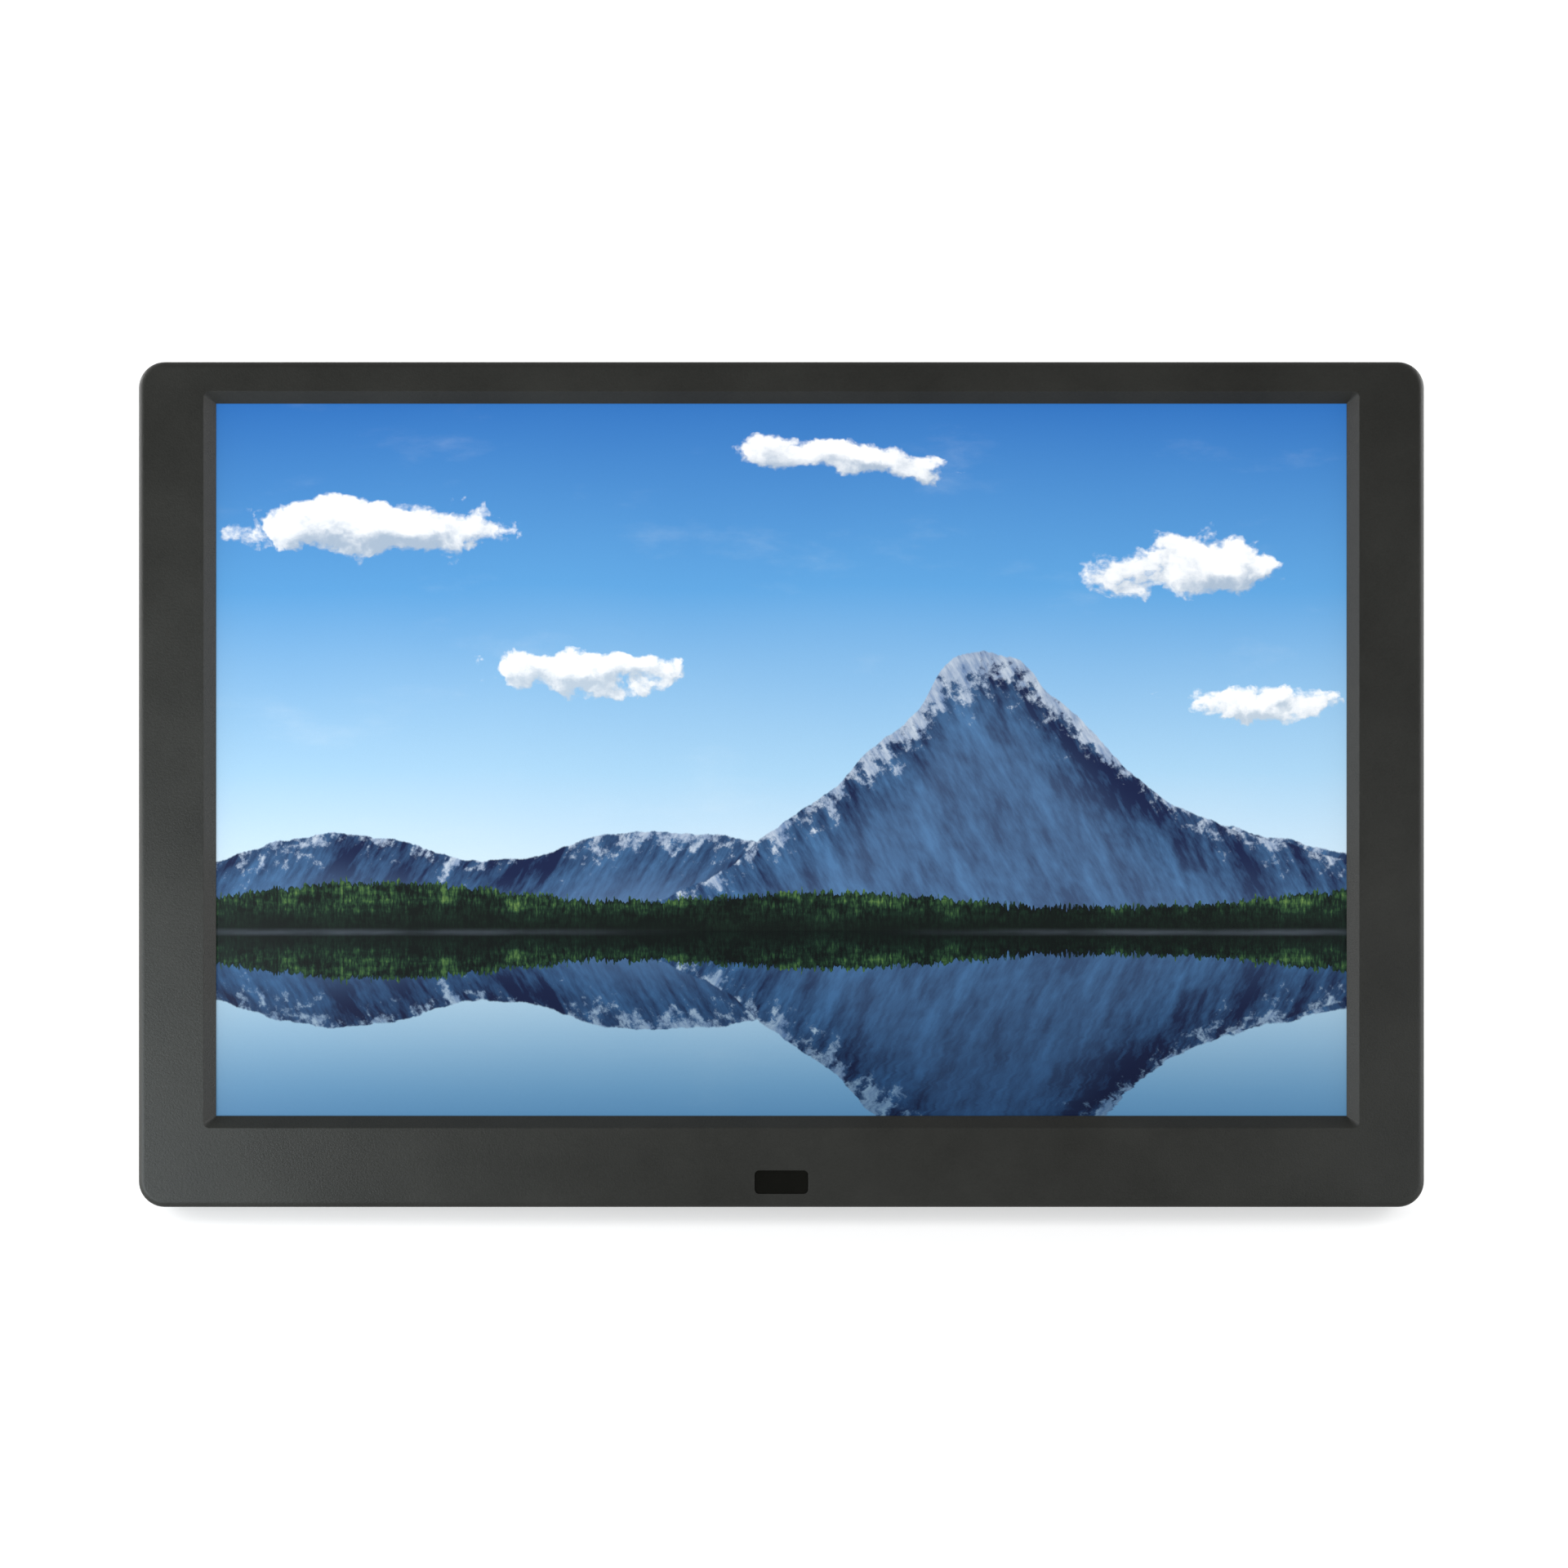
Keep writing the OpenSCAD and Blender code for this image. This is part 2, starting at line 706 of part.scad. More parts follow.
// Hollow of the cover, before the blocks that stand in it.
module cover_inside() {
    inset = cover_inset + rim_t;
    edged_plate(frame_w - 2 * inset, inset, frame_h - inset, corner_r - inset, joint_d - cut, inner_d)
        chamfered_edge(corner_r - inset, joint_d - cut, inner_d, 2.4);
    edged_plate(hub_w - 2 * wall, hub_y0 + wall, hub_y1 - wall, hub_r - wall, inner_d - 1, hub_inner_d)
        chamfered_edge(hub_r - wall, inner_d - 1, hub_inner_d, 2.2);
}

// Walls left standing in the hollow around the stand's recess.
module recess_walls() {
    x = recess_x + wall;
    top = hinge_y + 6 + wall;
    block(-x, x, hub_y0, top, recess_floor_d - wall, hub_d);
    block(-x, x, hinge_y - 7 - wall, top, pocket_floor_d - wall, hub_d);
    both_sides(recess_x + wall + 2)
        translate([0, hinge_y, 0]) layer(hinge_d - 4, hub_d - 1) square([4, 8], center = true);
}

// Recess that the folded stand lies in, deeper at the hinge.
module recess_cut() {
    block(-recess_x, recess_x, hub_y0 - 1, hinge_y + 6, recess_floor_d, hub_d + 1);
    block(-recess_x, recess_x, hinge_y - 7, hinge_y + 6, pocket_floor_d, hub_d + 1);
    along_x(-recess_x - pin_hold - 0.1, 2 * (recess_x + pin_hold + 0.1), pin_r, hinge_y, hinge_d);
}

// Pocket behind a hanger plate, with the seat of the plate.
module hanger_cut() {
    layer(hub_d - hanger_t, hub_d + 1) outline(hanger_w + 0.1, -hanger_h / 2, hanger_h / 2, 3);
    layer(hanger_pocket_d, hub_d) outline(11, -10.5, 10.5, 3);
    for (y = [-hanger_screw_y, hanger_screw_y])
        translate([0, y, 0]) layer(hub_d - 5, hub_d) circle(hanger_screw_r);
}

// Seat of a grille disc, with the opening that the sound passes through.
module grille_seat() {
    layer(hub_inner_d - 1, hub_d) circle(basket_opening_r);
    layer(grille_d0, hub_d + 1) circle(grille_r + 0.1);
}

module vents()
    for (i = [0 : vent_count - 1])
        translate([0, vent_y0 + i * vent_pitch, 0]) rotate([0, 0, 90])
            layer(hub_inner_d - 1, hub_d + 1) slot_2d(vent_r, -vent_l / 2, vent_l / 2);

// Openings in the side wall for the sockets.
module port_cuts() {
    x0 = hub_w / 2 - wall - 2;
    x1 = hub_w / 2 + 1;
    for (port = [[usb_y, usb_w, usb_h], [micro_y, micro_w, micro_h], [sd_y, sd_w, sd_h]]) {
        half = port[1] / 2 + port_gap;
        block(x0, x1, port[0] - half, port[0] + half, board_d1 - port_gap, board_d1 + port[2] + port_gap);
    }
    along_x(x0, x1 - x0, jack_nose_r + port_gap, jack_y, port_d);
    along_x(x0, x1 - x0, dc_nose_r + port_gap, dc_y, dc_d);
}

module back_cover()
    color([0.13, 0.13, 0.13]) leaned() {
        difference() {
            cover_outside();
            difference() {
                cover_inside();
                recess_walls();
                both_sides(hanger_x) translate([0, hanger_y, 0])
                    layer(hanger_pocket_d - hanger_pocket_floor, hub_d)
                        outline(hanger_w, -hanger_h / 2, hanger_h / 2, 3);
            }
            recess_cut();
            both_sides(hanger_x) translate([0, hanger_y, 0]) hanger_cut();
            both_sides(speaker_x) translate([0, speaker_y, 0]) grille_seat();
            both_sides(vent_x) vents();
            port_cuts();
            for (i = [0 : len(button_names) - 1])
                translate([button_x0 + i * button_pitch, button_y, 0])
                    layer(hub_inner_d - 1, hub_d + 1) circle(button_r + gap);
            both_sides(screw_x) for (y = screw_ys) translate([0, y, 0]) {
                layer(back_d - screw_head_t, back_d + cut) circle(screw_head_r + 0.1);
                layer(joint_d - 1, back_d) circle(screw_r);
            }
        }
        cover_posts();
    }

// Posts inside the cover for the case screws and both boards.
module cover_posts() {
    both_sides(screw_x) for (y = screw_ys) translate([0, y, 0])
        post(joint_d, inner_d, boss_r, screw_r);
    board_posts() post(board_d1, hub_inner_d, 2.6, 1.1);
    key_posts() post(key_board_d0 + key_board_t, hub_inner_d, 1.9, 0.85);
}

// Hollow post between two depths.
module post(d0, d1, r, hole_r)
    difference() {
        layer(d0, d1) circle(r);
        layer(d0 - cut, min(d1, d0 + 4.5)) circle(hole_r);
    }

module case_screws()
    color([0.25, 0.25, 0.26]) leaned() both_sides(screw_x)
        for (y = screw_ys)
            translate([0, y, 0])
                screw(back_d, front_t + 1.5, screw_head_r, screw_head_t, screw_r - 0.02);

// ---- Hangers ----

module hanger(side)
    color([0.72, 0.72, 0.74]) leaned() translate([side * hanger_x, hanger_y, 0]) difference() {
        layer(hub_d - hanger_t, hub_d) outline(hanger_w, -hanger_h / 2 + 0.05, hanger_h / 2 - 0.05, 3);
        layer(hub_d - hanger_t - cut, hub_d + cut) {
            translate([0, keyhole_y]) circle(keyhole_r);
            translate([0, keyhole_y]) slot_2d(keyhole_slot_r, 0, keyhole_rise);
        }
        for (y = [-hanger_screw_y, hanger_screw_y])
            translate([0, y, 0]) layer(hub_d - hanger_t - cut, hub_d + cut) circle(hanger_screw_r);
    }

module hanger_left() hanger(-1);
module hanger_right() hanger(1);

module hanger_screws()
    color([0.7, 0.7, 0.72]) leaned() both_sides(hanger_x)
        for (y = [-hanger_screw_y, hanger_screw_y])
            translate([0, hanger_y + y, 0])
                screw(hub_d + 0.5, hub_d - 4.6, 1.5, 0.5, hanger_screw_r - 0.02);

// ---- Kickstand, drawn folded: X is the hinge axis, Y runs up, Z points to the front ----

// Outline of the stand's plate, tapering to its foot.
module leg_outline() {
    r = 4;
    end_y = -stand_l + pad_t;
    hull() {
        translate([-stand_w / 2, -1]) square([stand_w, heel + 1]);
        translate([-stand_foot_w / 2, end_y]) square([stand_foot_w, r]);
    }
}

module stand_leg()
    color([0.12, 0.12, 0.12]) on_hinge() difference() {
        union() {
            layer(-leg_inner, leg_outer) difference() {
                leg_outline();
                for (side = [0, 1])
                    mirror([side, 0]) polygon([[stand_foot_w / 2 - 2, -stand_l - 2],
                        [stand_foot_w / 2 + 2, -stand_l + 2 + pad_t], [stand_w, -stand_l]]);
            }
            along_x(-stand_w / 2, stand_w, barrel_r, 0, 0);
        }
        // shallow panel in the inner face, crossed by ribs
        difference() {
            layer(-leg_inner - 1, leg_outer - 1.8)
                polygon([[-stand_w / 2 + 5, -8], [stand_w / 2 - 5, -8],
                    [stand_foot_w / 2 - 3, -stand_l + 9], [-stand_foot_w / 2 + 3, -stand_l + 9]]);
            for (x = [-14, 0, 14])
                block(x - 0.8, x + 0.8, -stand_l, 0, -leg_inner, leg_outer);
            for (y = [-30, -52])
                block(-stand_w / 2, stand_w / 2, y - 0.8, y + 0.8, -leg_inner, leg_outer);
        }
        // grip groove in the outer face above the foot
        for (i = [0 : 2])
            along_x(-grip_w / 2, grip_w, 0.6, -stand_l + 9 + 3 * i, leg_outer);
        // end cut to the slope of the sole
        translate([0, -stand_l + pad_t / cos(lean), 0]) rotate([-lean, 0, 0])
            translate([-50, -20, -20]) cube([100, 20, 40]);
        // hinge bore
        along_x(-stand_w / 2 - cut, stand_w + 2 * cut, pin_r + pin_clearance, 0, 0);
    }

// Rubber pad on the end of the stand, its sole level when the stand is open.
module stand_foot_pad()
    color([0.06, 0.06, 0.06]) on_hinge() {
        half = stand_foot_w / 2 - 2.5;
        top = pad_t / cos(lean);
        translate([-half, 0, 0]) rotate([90, 0, 90]) linear_extrude(2 * half)
            polygon([[-stand_l + leg_inner * sole_slope, leg_inner],
                [-stand_l - leg_outer * sole_slope, -leg_outer],
                [-stand_l - leg_outer * sole_slope + top, -leg_outer],
                [-stand_l + leg_inner * sole_slope + top, leg_inner]]);
    }

// Pin from inside the stand's barrel into the wall beside the recess.
module stand_pin(side)
    color([0.75, 0.75, 0.77]) leaned() mirror([side < 0 ? 1 : 0, 0, 0])
        along_x(recess_x - pin_reach, pin_reach + pin_hold, pin_r, hinge_y, hinge_d);

module stand_pin_left() stand_pin(-1);
module stand_pin_right() stand_pin(1);

// Friction washer between the stand's barrel and the recess wall.
module stand_washer(side)
    color([0.9, 0.9, 0.85]) leaned() mirror([side < 0 ? 1 : 0, 0, 0]) difference() {
        along_x(stand_w / 2 + gap, recess_x - stand_w / 2 - gap, washer_r, hinge_y, hinge_d);
        along_x(stand_w / 2, recess_x, pin_r, hinge_y, hinge_d);
    }

module stand_washer_left() stand_washer(-1);
module stand_washer_right() stand_washer(1);

// ---- Feet ----

// Rubber wedge under the cover's lower edge, its sole flat on the table.
module foot(side)
    color([0.06, 0.06, 0.06]) leaned() translate([side * foot_x - foot_w / 2, 0, 0])
        rotate([90, 0, 90]) linear_extrude(foot_w)
            polygon([[table_y + foot_front_d * sole_slope, -foot_front_d],
                [table_y + back_d * sole_slope, -back_d],
                [cover_y0 + cover_chamfer, -back_d],
                [cover_y0, -back_d + cover_chamfer],
                [cover_y0, -foot_front_d]]);

module foot_left() foot(-1);
module foot_right() foot(1);

front_bezel();
ir_window();
ir_receiver();
sensor_board();
sensor_lead();
lcd_gasket();
display_surface();
lcd_cell();
prism_sheet();
diffuser_sheet();
light_guide();
reflector_sheet();
led_strip();
lcd_tray();
lcd_brackets();
bracket_screws();
lcd_ribbon();
main_board();
shield_can();
board_chips();
board_capacitors();
board_screws();
usb_port();
micro_usb_port();
sd_slot();
headphone_jack();
dc_jack();
key_board();
key_board_screws();
tact_switches();
key_ribbon();
button_power();
button_menu();
button_exit();
button_left();
button_up();
button_down();
button_right();
speaker_basket_left();
speaker_basket_right();
speaker_magnet_left();
speaker_magnet_right();
speaker_cone_left();
speaker_cone_right();
speaker_grille_left();
speaker_grille_right();
speaker_leads();
back_cover();
case_screws();
hanger_left();
hanger_right();
hanger_screws();
stand_leg();
stand_foot_pad();
stand_pin_left();
stand_pin_right();
stand_washer_left();
stand_washer_right();
foot_left();
foot_right();
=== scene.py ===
"""Looks of a digital photo frame on its kickstand: camera, lights, materials and the shown picture."""

import json
import math

import bpy
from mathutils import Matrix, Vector


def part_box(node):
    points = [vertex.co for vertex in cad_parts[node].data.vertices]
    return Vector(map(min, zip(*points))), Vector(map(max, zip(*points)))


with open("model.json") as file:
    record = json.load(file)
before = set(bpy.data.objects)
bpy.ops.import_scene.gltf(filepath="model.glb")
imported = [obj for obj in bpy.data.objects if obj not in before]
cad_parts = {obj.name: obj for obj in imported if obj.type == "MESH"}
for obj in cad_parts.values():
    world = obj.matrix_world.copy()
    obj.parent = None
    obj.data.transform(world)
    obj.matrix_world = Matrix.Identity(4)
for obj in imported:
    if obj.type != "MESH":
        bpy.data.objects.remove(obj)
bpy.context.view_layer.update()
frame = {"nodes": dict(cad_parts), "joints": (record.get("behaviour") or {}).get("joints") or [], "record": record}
NODES = frame["nodes"]
MM = 0.001

# ---- Face frame: where the picture lies, worked out from the CAD ----

# The buttons are pressed straight towards the front, so their axis is the face's normal.
press_axis = next(j["axis"] for j in frame["joints"] if j["name"] == "press_menu")
FACE_NORMAL = Vector(press_axis)
FACE_RIGHT = Vector((1, 0, 0))
FACE_UP = FACE_NORMAL.cross(FACE_RIGHT)


def span(node, axis):
    """Where a CAD node starts and ends along an axis."""
    places = [vertex.co.dot(axis) for vertex in NODES[node].data.vertices]
    return min(places), max(places)


BEZEL_LOW, BEZEL_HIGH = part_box("front_bezel")
FILM_LOW, FILM_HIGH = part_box("display_surface")
SCREEN_CENTRE = (FILM_LOW + FILM_HIGH) / 2
FILM_OVERLAP = 0.5 * MM
FILM_THICKNESS = 0.2 * MM
FRAME_WIDTH = BEZEL_HIGH.x - BEZEL_LOW.x
SCREEN_WIDTH = FILM_HIGH.x - FILM_LOW.x - 2 * FILM_OVERLAP
FILM_HEIGHT = (FILM_HIGH.z - FILM_LOW.z - FILM_THICKNESS * abs(FACE_NORMAL.z)) / FACE_UP.z
SCREEN_HEIGHT = FILM_HEIGHT - 2 * FILM_OVERLAP


# ---- Shader maths: arithmetic on fields adds nodes to a material ----

class Field:
    """A number that varies over a surface, held by a node's output socket."""

    def __init__(self, tree, socket):
        self.tree = tree
        self.socket = socket

    def math(self, operation, *others, clamp=False):
        """Result of an operation on this field and others."""
        return math_node(self.tree, operation, self, *others, clamp=clamp)

    def __add__(self, other):
        return self.math("ADD", other)

    def __sub__(self, other):
        return self.math("SUBTRACT", other)

    def __rsub__(self, other):
        return math_node(self.tree, "SUBTRACT", other, self)

    def __mul__(self, other):
        return self.math("MULTIPLY", other)

    def __pow__(self, other):
        return self.math("POWER", other)

    def __abs__(self):
        return self.math("ABSOLUTE")

    __radd__ = __add__
    __rmul__ = __mul__

    def clamped(self):
        """The same, kept between 0 and 1."""
        return self.math("ADD", 0.0, clamp=True)

    def larger(self, other):
        """The greater of two at each place."""
        return self.math("MAXIMUM", other)

    def step(self, low, high):
        """0 at low, 1 at high and smooth between them; low may be the larger."""
        node = self.tree.nodes.new("ShaderNodeMapRange")
        node.interpolation_type = "SMOOTHSTEP"
        plug(self, node.inputs["Value"])
        plug(low, node.inputs["From Min"])
        plug(high, node.inputs["From Max"])
        return Field(self.tree, node.outputs["Result"])


def plug(value, socket):
    """Links a field to a socket, or sets the socket to a plain number or colour."""
    if isinstance(value, Field):
        value.tree.links.new(value.socket, socket)
    elif isinstance(value, tuple):
        socket.default_value = (*value, 1.0) if len(socket.default_value) == 4 else value
    else:
        socket.default_value = value


def math_node(tree, operation, *values, clamp=False):
    """Result of an operation on fields or numbers."""
    node = tree.nodes.new("ShaderNodeMath")
    node.operation = operation
    node.use_clamp = clamp
    for value, socket in zip(values, node.inputs):
        plug(value, socket)
    return Field(tree, node.outputs[0])


def vector(tree, x, y, z=0.0):
    """A place made of three fields or numbers."""
    node = tree.nodes.new("ShaderNodeCombineXYZ")
    for value, socket in zip((x, y, z), node.inputs):
        plug(value, socket)
    return Field(tree, node.outputs[0])


def along(place, axis):
    """Distance of a place from the origin along an axis."""
    node = place.tree.nodes.new("ShaderNodeVectorMath")
    node.operation = "DOT_PRODUCT"
    plug(place, node.inputs[0])
    node.inputs[1].default_value = axis
    return Field(place.tree, node.outputs["Value"])


def length(place):
    """Distance of a place from the origin."""
    node = place.tree.nodes.new("ShaderNodeVectorMath")
    node.operation = "LENGTH"
    plug(place, node.inputs[0])
    return Field(place.tree, node.outputs["Value"])


def noise(place, scale, detail=3.0, roughness=0.5):
    """Fractal noise around 0, mostly between -0.3 and 0.3."""
    node = place.tree.nodes.new("ShaderNodeTexNoise")
    plug(place, node.inputs["Vector"])
    plug(scale, node.inputs["Scale"])
    plug(detail, node.inputs["Detail"])
    plug(roughness, node.inputs["Roughness"])
    return Field(place.tree, node.outputs["Fac"]) - 0.5


def cell_node(place, scale, feature, detail, metric):
    """Scattered cells, each with a distance pattern and a colour of its own."""
    node = place.tree.nodes.new("ShaderNodeTexVoronoi")
    node.feature = feature
    node.distance = metric
    plug(place, node.inputs["Vector"])
    plug(scale, node.inputs["Scale"])
    plug(detail, node.inputs["Detail"])
    return node


def cells(place, scale, feature="F1", detail=0.0):
    """Distance pattern of scattered round cells."""
    node = cell_node(place, scale, feature, detail, "EUCLIDEAN")
    return Field(place.tree, node.outputs["Distance"])


def blend(a, b, factor, mode="MIX"):
    """Colour a turning into colour b as the factor goes from 0 to 1."""
    tree = factor.tree
    node = tree.nodes.new("ShaderNodeMix")
    node.data_type = "RGBA"
    node.blend_type = mode
    plug(factor, node.inputs["Factor"])
    plug(a, node.inputs["A"])
    plug(b, node.inputs["B"])
    return Field(tree, node.outputs["Result"])


def ramp(field, stops):
    """Colour that runs through the stops, each a place from 0 to 1 with a colour."""
    node = field.tree.nodes.new("ShaderNodeValToRGB")
    plug(field, node.inputs["Fac"])
    elements = node.color_ramp.elements
    while len(elements) < len(stops):
        elements.new(0.5)
    for element, (place, colour) in zip(elements, stops):
        element.position = place
        element.color = (*colour, 1.0)
    return Field(field.tree, node.outputs["Color"])


def profile(field, points):
    """Height that follows a curve through the points, both axes from 0 to 1."""
    node = field.tree.nodes.new("ShaderNodeFloatCurve")
    plug(field, node.inputs["Value"])
    curve = node.mapping.curves[0]
    curve.points[0].location = points[0]
    curve.points[-1].location = points[-1]
    for point in points[1:-1]:
        curve.points.new(*point)
    node.mapping.update()
    return Field(field.tree, node.outputs["Value"])


def rgb(red, green, blue):
    """A display colour from 0 to 255 as the linear colour that shaders use."""
    def linear(value):
        value = value / 255
        return value / 12.92 if value <= 0.04045 else ((value + 0.055) / 1.055) ** 2.4
    return (linear(red), linear(green), linear(blue))


def surface(name):
    """A new material: its tree, its shader and the position on the object in metres."""
    material = bpy.data.materials.new(name)
    material.use_nodes = True
    tree = material.node_tree
    shader = tree.nodes["Principled BSDF"]
    coordinates = tree.nodes.new("ShaderNodeTexCoord")
    return material, tree, shader, Field(tree, coordinates.outputs["Object"])


def bump(shader, height, distance, edge_radius=0.0):
    """Raises the surface by height times distance, both in metres, over edges rounded to a radius."""
    tree = height.tree
    node = tree.nodes.new("ShaderNodeBump")
    plug(distance, node.inputs["Distance"])
    plug(height, node.inputs["Height"])
    if edge_radius:
        rounded = tree.nodes.new("ShaderNodeBevel")
        rounded.inputs["Radius"].default_value = edge_radius
        tree.links.new(rounded.outputs["Normal"], node.inputs["Normal"])
    tree.links.new(node.outputs["Normal"], shader.inputs["Normal"])


# ---- The shown picture: a made-up single peak over a lake with a low horizon ----
# Its coordinates are x across and y up from the waterline, both in picture heights, and h is the
# height above the water or its mirror image. Noise is finer with a greater scale, and the last
# coordinate of its place is its seed.

PICTURE_HALF = SCREEN_WIDTH / SCREEN_HEIGHT / 2
WATERLINE = -0.24
SUN_ACROSS = -0.014
SUN_UP = 0.018


def picture_place(place):
    """Splits a place on the screen into the picture's x and y."""
    def offset(axis):
        return (along(place, axis) - SCREEN_CENTRE.dot(axis)) * (1 / SCREEN_HEIGHT)
    return offset(FACE_RIGHT), offset(FACE_UP) - WATERLINE


def sky(x, h):
    """Clear midday sky, pale above the land."""
    darkening = 1.35
    drift = noise(vector(x.tree, x, h, 3.0), 2.0, 2.0)
    return ramp(h * darkening + drift * 0.08, [
        (0.00, rgb(222, 234, 240)),
        (0.30, rgb(164, 204, 232)),
        (0.65, rgb(92, 158, 214)),
        (1.00, rgb(48, 112, 186)),
    ])


def blob(x, h, centre, radii):
    """1 in the middle of an ellipse, falling to 0 at its edge and below outside it."""
    across = (x - centre[0]) * (1 / radii[0])
    up = (h - centre[1]) * (1 / radii[1])
    return 1.0 - (across * across + up * up) ** 0.5


def together(x, h, blobs):
    """The highest of some blobs, and no less than -1 far from them."""
    cover = blob(x, h, *blobs[0])
    for other in blobs[1:]:
        cover = cover.larger(blob(x, h, *other))
    return cover.larger(-1.0)


def puffs(x, h, blobs, seed, size):
    """Density of heaped clouds: positive inside, with rounded bulges along a torn edge."""
    tree = x.tree
    bend_across = noise(vector(tree, x, h, seed + 7.0), 5.0 / size, 5.0, 0.6)
    bend_up = noise(vector(tree, x, h, seed + 9.0), 5.0 / size, 5.0, 0.6)
    bent_x = x + bend_across * (0.3 * size)
    bent_h = h + bend_up * (0.13 * size)
    bulges = 0.45 - cells(vector(tree, bent_x, bent_h * 1.3, seed), 17.0 / size, detail=3.0)
    torn = noise(vector(tree, x, h * 1.4, seed + 4.0), 8.0 / size, 10.0, 0.62)
    return together(bent_x, bent_h, blobs) + bulges * 0.42 + torn * 1.3 + 0.1


def heaped_clouds(x, h, behind, blobs, seed, size, lit, shade, softness):
    """Lays sunlit heaped clouds over what is behind them."""
    density = puffs(x, h, blobs, seed, size)
    towards_sun = puffs(x + SUN_ACROSS * size, h + SUN_UP * size, blobs, seed, size)
    hollows = noise(vector(x.tree, x, h * 1.3, seed + 11.0), 7.0 / size, 6.0, 0.5)
    light = density - towards_sun + hollows * 0.9 + 0.62
    body = blend(shade, lit, light.step(0.15, 0.95))
    return blend(behind, body, density.step(-0.02, softness) * 0.97)


# Heaped clouds as ellipses, each with its middle and its half axes.
FAIR_CLOUDS = [((-0.56, 0.56), (0.2, 0.05)), ((0.1, 0.66), (0.16, 0.035)), ((0.6, 0.5), (0.17, 0.05))]
LOW_CLOUDS = [((-0.28, 0.36), (0.17, 0.032)), ((0.68, 0.32), (0.14, 0.028))]


def clouds(x, h):
    """The whole sky with a few fair-weather clouds."""
    white = rgb(246, 247, 248)
    veil = noise(vector(x.tree, x * 0.9, h * 2.4, 30.0), 3.6, 8.0, 0.6)
    colour = blend(sky(x, h), rgb(226, 234, 240), veil.step(0.05, 0.4) * 0.3)
    colour = heaped_clouds(x, h, colour, LOW_CLOUDS, seed=3.0, size=0.7, lit=white,
                           shade=rgb(182, 196, 210), softness=0.24)
    return heaped_clouds(x, h, colour, FAIR_CLOUDS, seed=1.0, size=0.9, lit=white,
                         shade=rgb(166, 182, 200), softness=0.22)


def ridge_line(x, points, rough, scale, seed):
    """Height of a ridge along x, with a broken edge."""
    base = profile(x * (0.5 / PICTURE_HALF) + 0.5, points)
    detail = noise(vector(x.tree, x, seed), scale, 8.0, 0.6)
    return base * 0.5 + detail * rough


def snow_mountains(x, h, behind, points, seed, side, haze):
    """Blue mountains with snow between their rock ribs; side is 1 for slopes that fall to the right."""
    tree = x.tree
    top = ridge_line(x, points, rough=0.045, scale=10.0, seed=seed)
    mask = (top - h).step(-0.001, 0.002)
    slant = 0.55 * side
    ribs = noise(vector(tree, x - h * slant, h * 0.35, seed), 26.0, 7.0, 0.6)
    broken = noise(vector(tree, x, h, seed + 3.0), 60.0, 6.0, 0.65)
    fold = noise(vector(tree, x - h * side, h * 0.4, seed + 5.0), 8.0, 3.0)
    below = top - h
    towards_sun = vector(tree, x - h * slant - 0.004, h * 0.35 + 0.003, seed)
    shadow_ribs = noise(towards_sun, 26.0, 7.0, 0.6)
    sunlit = ((ribs - shadow_ribs) * 4.0 + 0.45).clamped()
    snow = (ribs * 1.2 + broken * 1.5 + fold * 0.6 - below * 5.6 + h * 1.1).step(0.02, 0.3)
    facets = (fold * 1.8 + ribs * 2.0 + sunlit * 0.5 + 0.15).clamped()
    rock = blend(rgb(22, 33, 68), rgb(70, 112, 156), facets)
    colour = blend(rock, blend(rgb(112, 138, 176), rgb(206, 216, 226), sunlit), snow * 0.88)
    colour = blend(colour, rgb(96, 128, 168), (below.step(0.02, 0.16) * haze).clamped())
    return blend(behind, colour, mask)


def forest(x, h, behind, points, seed):
    """Conifer shore: spires of green crowns over dark gaps, darkest along the water."""
    tree = x.tree
    place = vector(tree, x, h * 0.36, seed)
    crown = cell_node(place, 190.0, "F1", 0.0, "MANHATTAN")
    gap = Field(tree, crown.outputs["Distance"])
    own_tone = Field(tree, crown.outputs["Color"])
    strands = noise(vector(tree, x, h * 0.22, seed + 1.0), 420.0, 2.0, 0.6)
    spires = (0.62 - gap) * 0.01 + strands * 0.012
    top = ridge_line(x, points, rough=0.018, scale=12.0, seed=seed) + spires
    mask = (top - h).step(-0.0006, 0.0012)
    patches = noise(vector(tree, x, h * 2.2, seed + 2.0), 9.0, 5.0, 0.62)
    stands = noise(vector(tree, x * 0.8, h * 2.6, seed + 6.0), 30.0, 4.0, 0.62)
    tone = own_tone * 0.34 + strands * 0.9 - gap * 0.34 + patches * 1.3 + stands * 0.9
    tone = tone + 0.36 + (h - 0.05) * 1.3
    shore = (h + strands * 0.02 + patches * 0.05).step(0.0, 0.05)
    colour = ramp((tone * (shore * 0.9 + 0.1)).clamped(), [
        (0.00, rgb(12, 20, 18)),
        (0.24, rgb(22, 42, 32)),
        (0.46, rgb(44, 74, 46)),
        (0.70, rgb(82, 114, 62)),
        (1.00, rgb(134, 156, 92)),
    ])
    return blend(behind, colour, mask)


# Ridge lines: share of the picture's width and twice the height of the ridge there.
FAR_RANGE = [(0, 0.2), (0.12, 0.27), (0.24, 0.2), (0.38, 0.28), (0.6, 0.2), (0.8, 0.3), (1, 0.22)]
PEAK = [(0, 0), (0.36, 0.06), (0.5, 0.3), (0.62, 0.62), (0.68, 0.78), (0.74, 0.66), (0.86, 0.34), (1, 0.2)]
SHORE = [(0, 0.1), (0.16, 0.14), (0.34, 0.09), (0.55, 0.11), (0.78, 0.07), (1, 0.12)]


